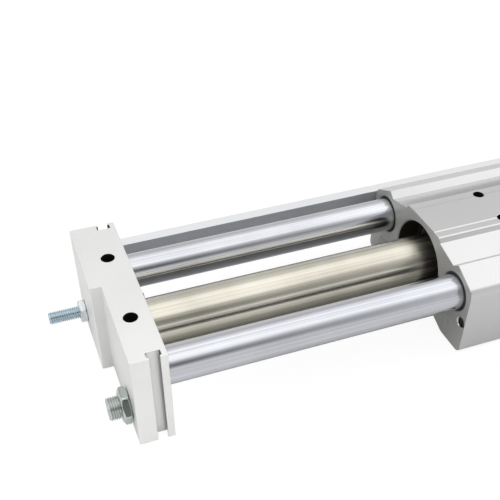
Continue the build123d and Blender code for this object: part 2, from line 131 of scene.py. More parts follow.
# %% [markdown]
# ## From arrays to meshes
# A surface is a grid of points: stations along it, and points around each station. A helper joins
# neighbours into four-sided faces and closes the ends. Another merges doubled points, turns every
# face outwards, and weights the shading by face area, so that flats look flat beside round edges.

# %% Mesh helpers
MERGE = 1e-6
SHARP = math.radians(25)


def skin(rings, loop=False):
    """Vertices and faces over a grid shaped (stations, around, 3).

    Each face joins points j and j + 1 of two neighbouring stations, counted round. With loop the
    last station joins the first; otherwise the first and last stations are closed by a flat face.
    """
    stations, around = rings.shape[:2]
    i, j = np.meshgrid(np.arange(stations if loop else stations - 1), np.arange(around), indexing="ij")
    i_next, j_next = (i + 1) % stations, (j + 1) % around
    here, there = i * around, i_next * around
    faces = np.stack((here + j, here + j_next, there + j_next, there + j), axis=-1)
    faces = faces.reshape(-1, 4).tolist()
    if not loop:
        faces.append(list(range(around)))
        faces.append(list(range((stations - 1) * around, stations * around)))
    return rings.reshape(-1, 3), faces


def solid(name, *skins):
    """Object made of one or more closed skins, with doubles merged and faces turned outwards."""
    work = bmesh.new()
    for points, faces in skins:
        mesh = bpy.data.meshes.new("skin")
        mesh.from_pydata(points.tolist(), [], faces)
        work.from_mesh(mesh)
        bpy.data.meshes.remove(mesh)
    bmesh.ops.remove_doubles(work, verts=work.verts, dist=MERGE)
    bmesh.ops.dissolve_degenerate(work, edges=work.edges, dist=MERGE)
    bmesh.ops.recalc_face_normals(work, faces=work.faces)
    mesh = bpy.data.meshes.new(name)
    work.to_mesh(mesh)
    work.free()
    obj = bpy.data.objects.new(name, mesh)
    bpy.context.scene.collection.objects.link(obj)
    return obj


def apply_modifiers(obj):
    """Keeps the mesh as the modifiers make it, and clears them."""
    graph = bpy.context.evaluated_depsgraph_get()
    mesh = bpy.data.meshes.new_from_object(obj.evaluated_get(graph), depsgraph=graph)
    obj.modifiers.clear()
    obj.data = mesh


def carve(obj, cutters):
    """Cuts each closed cutter out of the piece, and removes the cutter."""
    for cutter in cutters:
        cut = obj.modifiers.new("cut", "BOOLEAN")
        cut.operation = "DIFFERENCE"
        cut.solver = "EXACT"
        cut.object = cutter
        apply_modifiers(obj)
        bpy.data.objects.remove(cutter)
    return obj


def even_shading(obj):
    """Smooth shading up to a sharp angle, weighted by face area."""
    obj.data.shade_smooth()
    obj.data.set_sharp_from_angle(angle=SHARP)
    weighted = obj.modifiers.new("even_shading", "WEIGHTED_NORMAL")
    weighted.keep_sharp = True
    apply_modifiers(obj)


def dress(obj, node, *finishes):
    """The piece stands for a frame node: same body, node hidden.

    The finishes are named; the first one covers the piece until paint() gives faces another.
    """
    even_shading(obj)
    for name in finishes:
        obj.data.materials.append(finish_of[name])
    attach(obj, body_of[node])
    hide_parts(node)
    print(obj.name, "for", node, "with", len(obj.data.polygons), "faces")
    return obj


def face_data(obj):
    """Centre and normal of every face, as arrays."""
    count = len(obj.data.polygons)
    centres, normals = np.empty(count * 3), np.empty(count * 3)
    obj.data.polygons.foreach_get("center", centres)
    obj.data.polygons.foreach_get("normal", normals)
    return centres.reshape(-1, 3), normals.reshape(-1, 3)


def paint(obj, mask, index):
    """Gives the faces under the mask another of the piece's finishes."""
    indices = np.empty(len(obj.data.polygons), np.int32)
    obj.data.polygons.foreach_get("material_index", indices)
    indices[mask] = index
    obj.data.polygons.foreach_set("material_index", indices)


# %% [markdown]
# ## Three ways to make a machined solid
# Nearly every piece here is turned, extruded or drilled. A turned piece is a profile carried round
# an axis. An extruded one is an outline carried along an axis, its rims rounded over a quarter
# circle as a deburred edge is. A drilled hole is a turned cutter with a chamfered mouth.

# %% Turned, extruded and drilled solids
def on_axis(along, across, upward, axis):
    """Points from their distance along an axis and two offsets, in X, Y, Z order."""
    if axis == "x":
        return np.stack((along, across, upward), axis=-1)
    if axis == "y":
        return np.stack((across, along, upward), axis=-1)
    return np.stack((across, upward, along), axis=-1)


def turned(profile, centre, axis="x", loop=False, around=96):
    """Skin of revolution: each profile point (along, radius) is carried round the axis.

    A point at angle t stands radius * cos t across and radius * sin t up from the centre line.
    """
    along, radius = np.array(profile).T
    t = np.linspace(0, 2 * math.pi, around, endpoint=False)
    across = centre[0] + radius[:, None] * np.cos(t)
    upward = centre[1] + radius[:, None] * np.sin(t)
    return skin(on_axis(np.broadcast_to(along[:, None], across.shape), across, upward, axis), loop)


def rounded(points, radii, steps=5):
    """Closed outline whose corners are arcs tangent to both sides, or left sharp at radius 0.

    With a and b the directions to the two neighbours and h half the angle between them, the arc
    starts radius / tan h along each side, and its centre lies radius / sin h along a + b.
    """
    points = np.array(points, float)
    out = []
    for p, before, after, radius in zip(points, np.roll(points, 1, 0), np.roll(points, -1, 0), radii):
        a, b = before - p, after - p
        room = 0.45 * min(np.linalg.norm(a), np.linalg.norm(b))
        a, b = a / np.linalg.norm(a), b / np.linalg.norm(b)
        half = math.acos(np.clip(a @ b, -1, 1)) / 2
        if radius == 0 or half > math.radians(88):
            out.append(p)
            continue
        reach = min(radius / math.tan(half), room)
        radius = reach * math.tan(half)
        centre = p + (a + b) / np.linalg.norm(a + b) * radius / math.sin(half)
        start, end = p + a * reach - centre, p + b * reach - centre
        sweep = math.pi - 2 * half
        for s in np.linspace(0, 1, steps):
            arm = start * math.sin((1 - s) * sweep) + end * math.sin(s * sweep)
            out.append(centre + arm / math.sin(sweep))
    return np.array(out)


def pulled_in(outline, distance):
    """Outline moved inwards: each point goes back along the sum of its two sides' normals.

    The sum is divided by 1 plus the cosine between the normals, which keeps the sides parallel.
    """
    following = np.roll(outline, -1, 0)
    ahead = following - outline
    normals = np.stack((ahead[:, 1], -ahead[:, 0]), axis=-1)
    normals /= np.linalg.norm(normals, axis=1, keepdims=True)
    twice_area = np.sum(outline[:, 0] * following[:, 1] - outline[:, 1] * following[:, 0])
    if twice_area < 0:
        normals = -normals
    previous = np.roll(normals, 1, 0)
    cosine = np.sum(normals * previous, axis=1, keepdims=True)
    return outline - distance * (normals + previous) / (1 + cosine)


def extruded(outline, low, high, rim, axis, steps=4):
    """Skin of an outline carried along an axis, from low to high, with rounded rims.

    At angle t of a rim the outline is pulled in by rim * (1 - sin t) and stands rim * (1 - cos t)
    inside the end face.
    """
    quarter = [(rim * (1 - math.cos(t)), rim * (1 - math.sin(t)))
               for t in np.linspace(0, math.pi / 2, steps + 1)]
    stations = [(low + s, inset) for s, inset in quarter]
    stations += [(high - s, inset) for s, inset in reversed(quarter)]
    rings = []
    for along, inset in stations:
        section = pulled_in(outline, inset)
        rings.append(on_axis(np.full(len(section), along), section[:, 0], section[:, 1], axis))
    return skin(np.array(rings))


OVER = 0.5 * MM                   # how far a cutter stands out of the face that it cuts
EDGE_BREAK = 0.3 * MM
TIP = math.tan(math.radians(30))  # slope of a drill's point


def drill(face, way, depth, radius, centre, axis="x", break_edge=EDGE_BREAK, pointed=False):
    """Cutter for a hole from a face inwards; way is the sign of the inward direction.

    Its mouth widens at 45 degrees from the hole's radius to the broken edge at the face.
    """
    profile = [(-OVER, 0), (-OVER, radius + break_edge + OVER), (break_edge, radius),
               (depth, radius), (depth + radius * TIP if pointed else depth, 0)]
    return solid("cutter", turned([(face + way * s, r) for s, r in profile], centre, axis))


def through(low, high, radius, centre, axis="x", break_edge=EDGE_BREAK):
    """Cutter for a hole right through, widened at both mouths."""
    wide = radius + break_edge + OVER
    profile = [(low - OVER, 0), (low - OVER, wide), (low + break_edge, radius),
               (high - break_edge, radius), (high + OVER, wide), (high + OVER, 0)]
    return solid("cutter", turned(profile, centre, axis))


# %% [markdown]
# ## Finishes
# Each metal is one Principled shader whose constants sit on the shader itself. What varies over a
# surface comes from shared groups: drawn lines along an extrusion, polishing streaks along a bar,
# the fine grain of a blasted and anodised skin, rings left by turning, and broad soft clouds from
# handling and oxide. Each group is one noise, drawn out along the axes as its effect needs. Pieces
# that nothing stands for keep the plain colour of their material slot.

# %% Node helpers and display tones
def tone(red, green, blue):
    """Linear colour for a tone read off a display, 0 to 255: the usual power curve undone."""
    shown = np.array((red, green, blue)) / 255
    linear = np.where(shown <= 0.04045, shown / 12.92, ((shown + 0.055) / 1.055) ** 2.4)
    return (*linear, 1.0)


def join(tree, source, target):
    """Link from an output socket to an input socket."""
    tree.links.new(source, target)


def remap(tree, value, start, end, low, high, smooth=False):
    """A value between start and end brought to low and high, straight or eased."""
    node = tree.nodes.new("ShaderNodeMapRange")
    node.interpolation_type = "SMOOTHSTEP" if smooth else "LINEAR"
    for label, number in (("From Min", start), ("From Max", end), ("To Min", low), ("To Max", high)):
        node.inputs[label].default_value = number
    join(tree, value, node.inputs["Value"])
    return node.outputs["Result"]


def calculate(tree, operation, first, second):
    """Math node; either operand may be a number or a socket."""
    node = tree.nodes.new("ShaderNodeMath")
    node.operation = operation
    for index, operand in enumerate((first, second)):
        if isinstance(operand, (int, float)):
            node.inputs[index].default_value = operand
        else:
            join(tree, operand, node.inputs[index])
    return node.outputs["Value"]


def product(tree, first, second):
    """Two numbers or sockets multiplied."""
    return calculate(tree, "MULTIPLY", first, second)


# %% Shared effects
def noise_group(name, output, detail, scale=1.0, stretch=None):
    """Shader group with a Vector input and one noise as output.

    With stretch the vector is first multiplied along each axis: the noise varies fast along an
    axis with a large factor, and draws out into lines along one with a small factor.
    """
    tree = bpy.data.node_groups.new(name, "ShaderNodeTree")
    tree.interface.new_socket("Vector", in_out="INPUT", socket_type="NodeSocketVector")
    tree.interface.new_socket(output, in_out="OUTPUT", socket_type="NodeSocketFloat")
    start, end = tree.nodes.new("NodeGroupInput"), tree.nodes.new("NodeGroupOutput")
    place = start.outputs["Vector"]
    if stretch:
        drawn_out = tree.nodes.new("ShaderNodeVectorMath")
        drawn_out.operation = "MULTIPLY"
        drawn_out.inputs[1].default_value = stretch
        join(tree, place, drawn_out.inputs[0])
        place = drawn_out.outputs["Vector"]
    noise = tree.nodes.new("ShaderNodeTexNoise")
    noise.inputs["Scale"].default_value = scale
    noise.inputs["Detail"].default_value = detail
    join(tree, place, noise.inputs["Vector"])
    join(tree, noise.outputs["Fac"], end.inputs[output])
    return tree


drawn_lines = noise_group("drawn_lines", "Lines", 2.0, stretch=(5.0, 3600.0, 3600.0))
polish_streaks = noise_group("polish_streaks", "Lines", 2.0, stretch=(5.0, 1100.0, 1100.0))
ring_marks = noise_group("ring_marks", "Rings", 2.0, stretch=(900.0, 12.0, 12.0))
fine_grain = noise_group("fine_grain", "Grain", 3.0, scale=3200.0)    # about 0.3 mm across
soft_clouds = noise_group("soft_clouds", "Clouds", 3.0, scale=40.0)   # about 25 mm across
print("shared effects:", [tree.name for tree in bpy.data.node_groups])

# %% One metal from a colour, a roughness range and a surface effect
RELIEF_DEPTH = 0.02 * MM


def finish(name, dark, light, metallic, rough, effect, bump, clouds=0.5):
    """Material whose colour drifts between dark and light and whose roughness follows an effect.

    dark and light are tones off a display; rough is the lowest and highest roughness; bump is the
    strength of the effect's relief; clouds is how much of the colour drift the broad clouds take,
    the rest following the effect.
    """
    material = bpy.data.materials.new(name)
    material.use_nodes = True
    tree = material.node_tree
    shader = tree.nodes["Principled BSDF"]
    shader.inputs["Metallic"].default_value = metallic
    place = tree.nodes.new("ShaderNodeTexCoord").outputs["Object"]
    pattern = tree.nodes.new("ShaderNodeGroup")
    pattern.node_tree = effect
    broad = tree.nodes.new("ShaderNodeGroup")
    broad.node_tree = soft_clouds
    for group in (pattern, broad):
        join(tree, place, group.inputs["Vector"])
    fine = pattern.outputs[0]
    drift = calculate(tree, "ADD", product(tree, broad.outputs["Clouds"], clouds),
                      product(tree, fine, 1.0 - clouds))
    mix = tree.nodes.new("ShaderNodeMix")
    mix.data_type = "RGBA"
    mix.inputs[6].default_value = tone(*dark)
    mix.inputs[7].default_value = tone(*light)
    join(tree, remap(tree, drift, 0.3, 0.7, 0.0, 1.0), mix.inputs[0])
    join(tree, mix.outputs[2], shader.inputs["Base Color"])
    join(tree, remap(tree, fine, 0.25, 0.75, *rough), shader.inputs["Roughness"])
    relief = tree.nodes.new("ShaderNodeBump")
    relief.inputs["Strength"].default_value = bump
    relief.inputs["Distance"].default_value = RELIEF_DEPTH
    join(tree, fine, relief.inputs["Height"])
    join(tree, relief.outputs["Normal"], shader.inputs["Normal"])
    return material


# %% Grinding marks round a bar
GRIND = 1.0                       # anisotropy: 1 spreads a reflection most


def grind_round(material):
    """Spreads reflections along X, as marks left round a bar do.

    The tangent runs round the bar, and a quarter turn of it lies along the bar.
    """
    tree = material.node_tree
    round_bar = tree.nodes.new("ShaderNodeTangent")
    round_bar.direction_type = "RADIAL"
    round_bar.axis = "X"
    shader = tree.nodes["Principled BSDF"]
    join(tree, round_bar.outputs["Tangent"], shader.inputs["Tangent"])
    shader.inputs["Anisotropic"].default_value = GRIND
    shader.inputs["Anisotropic Rotation"].default_value = 0.25


# %% Finishes of the cylinder
# dark tone, light tone, metallic, roughness from and to, effect, relief, share of the clouds
SURFACES = {
    "plate_aluminium": ((240, 240, 238), (247, 247, 245), 0.65, (0.38, 0.5), fine_grain, 0.15),
    "carriage_aluminium": ((216, 216, 216), (221, 221, 221), 0.9, (0.23, 0.27), drawn_lines, 0.03),
    "shaded_carriage_face": ((174, 174, 172), (192, 192, 189), 0.4, (0.38, 0.5), fine_grain, 0.2),
    "rail_aluminium": ((244, 246, 248), (249, 250, 252), 0.5, (0.3, 0.4), drawn_lines, 0.1),
    "shaded_rail_side": ((210, 212, 215), (218, 220, 223), 0.5, (0.3, 0.4), drawn_lines, 0.1),
    "chrome_rod": ((200, 202, 208), (231, 233, 238), 1.0, (0.1, 0.18), polish_streaks, 0.05, 0.3),
    "stainless_tube": ((194, 189, 175), (234, 230, 217), 1.0, (0.14, 0.23), polish_streaks, 0.08, 0.4),
    "zinc_absorber": ((200, 208, 204), (214, 221, 217), 1.0, (0.05, 0.09), fine_grain, 0.05),
    "zinc_thread": ((210, 214, 212), (226, 229, 227), 1.0, (0.18, 0.26), fine_grain, 0.05),
    "zinc_root_shade": ((184, 192, 189), (202, 208, 205), 1.0, (0.3, 0.4), fine_grain, 0.1),
    "bolt_root_shade": ((192, 209, 219), (206, 219, 227), 1.0, (0.3, 0.4), fine_grain, 0.1),
    "zinc_bolt": ((214, 226, 234), (226, 236, 241), 1.0, (0.12, 0.2), fine_grain, 0.05),
    "zinc_nut": ((222, 230, 230), (234, 239, 239), 1.0, (0.12, 0.2), fine_grain, 0.05),
    "dark_plug": ((70, 70, 66), (92, 91, 86), 0.8, (0.3, 0.42), fine_grain, 0.1),
    "slot_shadow": ((84, 84, 82), (98, 98, 96), 0.3, (0.5, 0.62), fine_grain, 0.15),
    "thread_shadow": ((14, 14, 15), (24, 24, 25), 0.2, (0.55, 0.7), fine_grain, 0.3),
    "bore_shade": ((62, 61, 57), (84, 82, 77), 0.6, (0.3, 0.45), ring_marks, 0.2),
}
finish_of = {name: finish(name, *values) for name, values in SURFACES.items()}
for name in ("chrome_rod", "stainless_tube"):
    grind_round(finish_of[name])
print(len(finish_of), "finishes for the dressed pieces")

# %% [markdown]
# ## End plates
# Each plate is a block in two thicknesses, with a T-slot down each end face. Its plan is drawn as
# an outline, carried up the plate's height, and drilled. The tapped holes look black in the
# photograph because their threads trap the light, so their walls get a dark finish. The pockets
# behind the slots' lips are in shade too, and get a grey one.

# %% Plan of an end plate
THIN, THICK = 15.0 * MM, 20.0 * MM
STEP_Y = 2.2 * MM
SLOT_CENTRE, SLOT_OPENING, SLOT_CAVITY = 5.2 * MM, 4.2 * MM, 5.8 * MM
SLOT_LIP, SLOT_DEPTH = 1.2 * MM, 3.9 * MM
PLATE_HALF = plate_high[1]
CORNER, SLOT_CORNER, PLATE_RIM = 0.5 * MM, 0.3 * MM, 0.25 * MM


def plate_plan(side):
    """Outline from above: from the inner face round by the near slot, the step and the far slot."""
    near, far = SLOT_CENTRE - SLOT_OPENING / 2, SLOT_CENTRE + SLOT_OPENING / 2
    wide_near, wide_far = SLOT_CENTRE - SLOT_CAVITY / 2, SLOT_CENTRE + SLOT_CAVITY / 2
    lip, floor = PLATE_HALF - SLOT_LIP, PLATE_HALF - SLOT_DEPTH
    slot = [(near, PLATE_HALF), (near, lip), (wide_near, lip), (wide_near, floor),
            (wide_far, floor), (wide_far, lip), (far, lip), (far, PLATE_HALF)]
    points = [(0, -PLATE_HALF)] + [(depth, -y) for depth, y in slot]
    points += [(THIN, -PLATE_HALF), (THIN, STEP_Y), (THICK, STEP_Y), (THICK, PLATE_HALF)]
    points += [(depth, y) for depth, y in reversed(slot)] + [(0, PLATE_HALF)]
    radii = [CORNER if abs(y) == PLATE_HALF and depth in (0, THIN, THICK) else SLOT_CORNER
             for depth, y in points]
    radii[points.index((THICK, STEP_Y))] = CORNER
    plan = rounded(points, radii)
    plan[:, 0] = side * (INNER_X + plan[:, 0])
    return plan


print("plan of the left plate:", len(plate_plan(-1)), "points")

# %% Drill the end plates
RUNNING = 0.05 * MM               # play of a bar in its hole, on the radius
SEAT_DEPTH, TUBE_SEAT_DEPTH = 10.0 * MM, 9.0 * MM
CHAMBER_R, CHAMBER_DEPTH = 8.0 * MM, 12.0 * MM
ABSORBER_R, BOLT_R = 5.0 * MM, 3.0 * MM
PORT_R, PORT_Y, PORT_DEPTH, ROD_PORT_DEPTH = 4.3 * MM, 9.0 * MM, 9.5 * MM, 7.5 * MM
PLATE_TOP = plate_high[2]
TAPPED_R, TAPPED_DEPTH, TAPPED_Y, TAPPED_BREAK = 3.0 * MM, 12.0 * MM, 20.0 * MM, 0.15 * MM
TAPPED_ROWS = ((PLATE_TOP, -1, 8.2 * MM), (0.0, 1, 6.0 * MM))   # face, way in, from the inner face


def plate_cutters(side):
    """Seats for rods and tube, holes for the stops, tapped holes, and the right plate's ports."""
    inner = side * INNER_X
    cutters = [drill(inner, side, SEAT_DEPTH, ROD_R, (y, ROD_Z)) for y in (-ROD_Y, ROD_Y)]
    cutters.append(drill(inner, side, TUBE_SEAT_DEPTH, TUBE_R, (0, TUBE_Z)))
    cutters.append(drill(inner, side, CHAMBER_DEPTH, CHAMBER_R, (0, TUBE_Z)))
    for thickness, radius, y in ((THIN, ABSORBER_R, -ROD_Y), (THICK, BOLT_R + RUNNING, ROD_Y)):
        low, high = sorted((inner, inner + side * thickness))
        cutters.append(through(low, high, radius, (y, STOP_Z)))
    for face, way, inset in TAPPED_ROWS:
        for y in (-TAPPED_Y, TAPPED_Y):
            cutters.append(drill(face, way, TAPPED_DEPTH, TAPPED_R, (side * (INNER_X + inset), y), "z",
                                 TAPPED_BREAK, pointed=True))
    if side > 0:
        outer = inner + THICK
        cutters.append(drill(outer, -1, PORT_DEPTH, PORT_R, (PORT_Y, TUBE_Z)))
        cutters.append(drill(outer, -1, ROD_PORT_DEPTH, PORT_R, (ROD_Y, ROD_Z)))
    return cutters


# %% Finish the end plates
NEARLY = 0.1 * MM                 # slack when faces are picked by their place
MOUTH, REACH = 0.2 * MM, 16.0 * MM


def in_tapped_hole(centres):
    """Mask of the faces that line the tapped holes: near a hole's axis and past its mouth."""
    inside = np.zeros(len(centres), bool)
    for face, way, inset in TAPPED_ROWS:
        off_x = np.abs(centres[:, 0]) - (INNER_X + inset)
        off_y = np.abs(centres[:, 1]) - TAPPED_Y
        depth = way * (centres[:, 2] - face)
        inside |= (np.hypot(off_x, off_y) < TAPPED_R + NEARLY / 2) & (depth > MOUTH) & (depth < REACH)
    return inside


def in_slot_pocket(centres):
    """Mask of the faces behind a slot's lips: past the opening, between the lips and the floor."""
    off_middle = np.abs(np.abs(centres[:, 0]) - (INNER_X + SLOT_CENTRE))
    behind = PLATE_HALF - np.abs(centres[:, 1])
    return ((off_middle > SLOT_OPENING / 2 + NEARLY) & (off_middle < SLOT_CAVITY / 2 + NEARLY)
            & (behind > SLOT_LIP - NEARLY) & (behind < SLOT_DEPTH + NEARLY))


for side, label in ((-1, "left"), (1, "right")):
    plate = solid(f"{label}_plate", extruded(plate_plan(side), 0.0, PLATE_TOP, PLATE_RIM, "z"))
    carve(plate, plate_cutters(side))
    dress(plate, f"{label}_end_plate", "plate_aluminium", "thread_shadow", "slot_shadow")
    centres, normals = face_data(plate)
    # Painted shade on the tapped holes' walls and in the slots' pockets.
    paint(plate, in_tapped_hole(centres), 1)
    paint(plate, in_slot_pocket(centres) & (np.abs(normals[:, 2]) < 0.5), 2)

# %% [markdown]
# ## Guide rods and cylinder tube
# The rods are ground and hard chromed, so they mirror the room in long crisp bands. The tube is
# drawn stainless steel, warmer and softer. All are turned rings with chamfered ends.

# %% Turn the rods and the tube
ROD_CHAMFER, TUBE_CHAMFER = 0.6 * MM, 0.2 * MM
AIR_R, TUBE_WALL = 2.5 * MM, 1.0 * MM


def turned_bar(name, place, chamfer, bore=0.0):
    """Round bar with both ends chamfered, solid or with a bore."""
    low, high = place["ends"]
    radius = place["r"]
    profile = [(low, bore), (low, radius - chamfer), (low + chamfer, radius),
               (high - chamfer, radius), (high, radius - chamfer), (high, bore)]
    return solid(name, turned(profile, (place["y"], place["z"]), loop=bore > 0, around=160))


for name, node, chamfer, bore, metal in (
        ("front_rod", "front_guide_rod", ROD_CHAMFER, 0.0, "chrome_rod"),
        ("rear_rod", "rear_guide_rod", ROD_CHAMFER, AIR_R, "chrome_rod"),
        ("drawn_tube", "cylinder_tube", TUBE_CHAMFER, TUBE_R - TUBE_WALL, "stainless_tube")):
    dress(turned_bar(name, bar(node), chamfer, bore), node, metal)

# %% [markdown]
# ## Threads and nuts
# A thread is one surface: the radius falls from the crest to the root and back once per pitch, and
# the place of the crest moves along the bar by one pitch per turn. A nut is six flats trimmed by a
# shallow cone, so its radius is the smaller of the hexagon's and the cone's. A thread's roots get
# painted shade: the deepest third takes a second, darker finish.

# %% Threaded bars
THREAD_DEPTH = 0.61               # of the pitch
STEPS_PER_PITCH = 8
AROUND = 72


def flats_radius(t, flats, turn):
    """Distance from the centre to a hexagon's side at angle t: half the flats over a cosine."""
    sector = (t - turn) % (math.pi / 3) - math.pi / 6
    return flats / 2 / np.cos(sector)


def threaded_rings(low, high, radius, pitch, chamfer, centre):
    """Grid of a thread from low to high.

    With p the place in the turn, from 0 to 1, the thread falls by its depth times
    1.25 * |2 p - 1| - 0.125, held between 0 and 1, and never stands out past the end chamfers.
    """
    stations = int((high - low) / pitch * STEPS_PER_PITCH) + 1
    x = np.linspace(low, high, stations)[:, None]
    t = np.linspace(0, 2 * math.pi, AROUND, endpoint=False)[None, :]
    p = (x / pitch - t / (2 * math.pi)) % 1.0
    fall = np.clip(1.25 * np.abs(2 * p - 1) - 0.125, 0, 1)
    cone = radius - chamfer + np.minimum(x - low, high - x)
    r = np.minimum(radius - THREAD_DEPTH * pitch * fall, cone)
    return np.stack((x + 0 * t, centre[0] + r * np.cos(t), centre[1] + r * np.sin(t)), axis=-1)


def ring(x, radius, centre):
    """One station of the same count round; radius may vary with the angle."""
    t = np.linspace(0, 2 * math.pi, AROUND, endpoint=False)
    r = radius(t) if callable(radius) else radius + 0 * t
    return np.stack((x + 0 * t, centre[0] + r * np.cos(t), centre[1] + r * np.sin(t)), axis=-1)[None]


def threaded_bar(name, node, side, pitch, chamfer, outer_recess, inner_recess):
    """Threaded bar along X; each recess is (depth, radius or hexagon) or None, on its end face."""
    place = bar(node)
    low, high = place["ends"]
    centre = (place["y"], place["z"])
    at_low, at_high = (outer_recess, inner_recess) if side < 0 else (inner_recess, outer_recess)
    first, last = [], []
    for recess, face, way, rings in ((at_low, low, 1, first), (at_high, high, -1, last)):
        if recess:
            depth, shape = recess
            rings += [ring(face + way * depth, 0, centre), ring(face + way * depth, shape, centre),
                      ring(face, shape, centre)]
    middle = threaded_rings(low, high, place["r"], pitch, chamfer, centre)
    return solid(name, skin(np.concatenate(first + [middle] + last[::-1])))


# %% Hexagon nuts
CONE_START = 0.91
CONE_SLOPE = math.tan(math.radians(30))
BORE_BEVEL = 0.5 * MM


def nut(name, node, flats, turn, bore):
    """Hexagon nut along X with both faces coned and a chamfered bore.

    The cone starts on each face at CONE_START of half the flats and widens at 30 degrees to it.
    """
    low, high = corners(node)
    centre = ((low[1] + high[1]) / 2, (low[2] + high[2]) / 2)
    start = CONE_START * flats / 2
    reach = (flats / math.sqrt(3) - start) * CONE_SLOPE
    cone = [(s, start + s / CONE_SLOPE) for s in np.linspace(0, reach, 9)]
    inwards = [(BORE_BEVEL, bore), (0, bore + BORE_BEVEL)] + cone
    stations = [(low[0] + s, r) for s, r in inwards] + [(high[0] - s, r) for s, r in reversed(inwards)]

    def shape(limit):
        return lambda t: np.minimum(flats_radius(t, flats, turn), limit)

    rings = [ring(x, shape(r), centre) for x, r in stations]
    return solid(name, skin(np.concatenate(rings), loop=True))


# %% Absorbers, adjusting bolts and their nuts
ABSORBER_TURN, BOLT_TURN = math.radians(52), math.radians(18)
ABSORBER_FLATS, BOLT_FLATS = 14.0 * MM, 10.0 * MM
PITCH, ABSORBER_CHAMFER, BOLT_CHAMFER = 1.0 * MM, 0.7 * MM, 0.6 * MM
PLUNGER_R, PLUNGER_BORE = 1.5 * MM, 20.0 * MM
SOCKET_FLATS, SOCKET_DEPTH = 3.0 * MM, 3.0 * MM
TIP_R, TIP_SEAT = 2.0 * MM, 3.5 * MM
ROOT = 0.7                        # share of the thread's depth past which the roots are dark


def bolt_socket(t):
    """Radius of the bolt's hexagon socket at angle t."""
    return flats_radius(t, SOCKET_FLATS, 0.0)


# Painted shade: the roots of a thread take the darker second finish.
def darken_roots(obj, node):
    """The deepest part of a thread takes the object's second finish."""
    place = bar(node)
    centres, normals = face_data(obj)
    reach = np.hypot(centres[:, 1] - place["y"], centres[:, 2] - place["z"])
    deep = place["r"] - ROOT * THREAD_DEPTH * PITCH
    paint(obj, (reach < deep) & (np.abs(normals[:, 0]) < 0.9), 1)


for side, label in ((-1, "left"), (1, "right")):
    for names, chamfer, outer, inner, crest, root, hexagon, nut_metal in (
            (("absorber", "absorber_body", "absorber_locknut", "absorber_nut"), ABSORBER_CHAMFER,
             None, (PLUNGER_BORE, PLUNGER_R + RUNNING), "zinc_thread", "zinc_root_shade",
             (ABSORBER_FLATS, ABSORBER_TURN, ABSORBER_R), "zinc_absorber"),
            (("stop_screw", "adjusting_bolt", "stop_locknut", "bolt_nut"), BOLT_CHAMFER,
             (SOCKET_DEPTH, bolt_socket), (TIP_SEAT, TIP_R), "zinc_bolt", "bolt_root_shade",
             (BOLT_FLATS, BOLT_TURN, BOLT_R + RUNNING), "zinc_nut")):
        name, node, nut_name, nut_node = (f"{label}_{word}" for word in names)
        piece = threaded_bar(name, node, side, PITCH, chamfer, outer, inner)
        dress(piece, node, crest, root)
        darken_roots(piece, node)
        dress(nut(nut_name, nut_node, *hexagon), nut_node, nut_metal)

# %% [markdown]
# ## Carriage
# The carriage is one extrusion: a table in the middle, a ridge over each rod, rounded shoulders,
# two legs and a round belly under the magnet housing. Its skin is anodised and drawn lengthwise;
# the sawn end faces are plainer and take a finish of their own, whose darker tone is painted
# shade, and the bore that the slider sits in gets a dark finish that is painted shade.

# %% Section of the carriage
PAD_HALF, PAD_PROUD = 9.4 * MM, 0.25 * MM
TABLE = (13.8 * MM, 16.8 * MM)
TABLE_FOOT = (15.2 * MM, 14.45 * MM)
VALLEY = (27.3 * MM, 11.2 * MM)
RIDGE = (30.7 * MM, 13.8 * MM)
SHOULDER_RISE, SHOULDER_ROUND = 7.4 * MM, 5.0 * MM
LEG_DROP, LEG_ROUND, LEG_WIDTH, LEG_INNER_ROUND = 26.8 * MM, 3.0 * MM, 15.2 * MM, 4.0 * MM
ARCH_RUN, ARCH_DROP, BELLY_HALF, BELLY_R = 9.0 * MM, 22.9 * MM, 14.5 * MM, 21.7 * MM
EDGE, TABLE_BEVEL, RIM = 0.35 * MM, 0.3 * MM, 0.3 * MM
SIDE = carriage_high[1]


def carriage_section():
    """Outline across the carriage: one half from the table out and down, the belly arc, its mirror."""
    leg_inner = SIDE - LEG_WIDTH
    belly_z = -(ROD_Z - TUBE_Z) - math.sqrt(BELLY_R ** 2 - BELLY_HALF ** 2)
    strip_z = TABLE[1] - PAD_PROUD
    half = [(PAD_HALF - PAD_PROUD, TABLE[1], 0.0), (PAD_HALF + PAD_PROUD, strip_z, 0.0),
            (TABLE[0] - 2 * TABLE_BEVEL, strip_z, 0.0), (TABLE[0], strip_z - TABLE_BEVEL, 0.0),
            (*TABLE_FOOT, EDGE), (*VALLEY, EDGE), (*RIDGE, EDGE),
            (SIDE, SHOULDER_RISE, SHOULDER_ROUND), (SIDE, -LEG_DROP, LEG_ROUND),
            (leg_inner, -LEG_DROP, LEG_INNER_ROUND), (leg_inner - ARCH_RUN, -ARCH_DROP, EDGE),
            (BELLY_HALF, belly_z, 0.0)]
    reach = math.asin(BELLY_HALF / BELLY_R)
    belly = [(BELLY_R * math.sin(t), TUBE_Z - BELLY_R * math.cos(t), 0.0)
             for t in np.linspace(reach, -reach, 25)[1:-1]]
    right_half = [(y, ROD_Z + z, r) for y, z, r in half]
    left_half = [(-y, z, r) for y, z, r in reversed(right_half)]
    points = np.array(right_half + belly + left_half)
    return rounded(points[:, :2], points[:, 2], steps=8)


print("carriage section:", len(carriage_section()), "points")

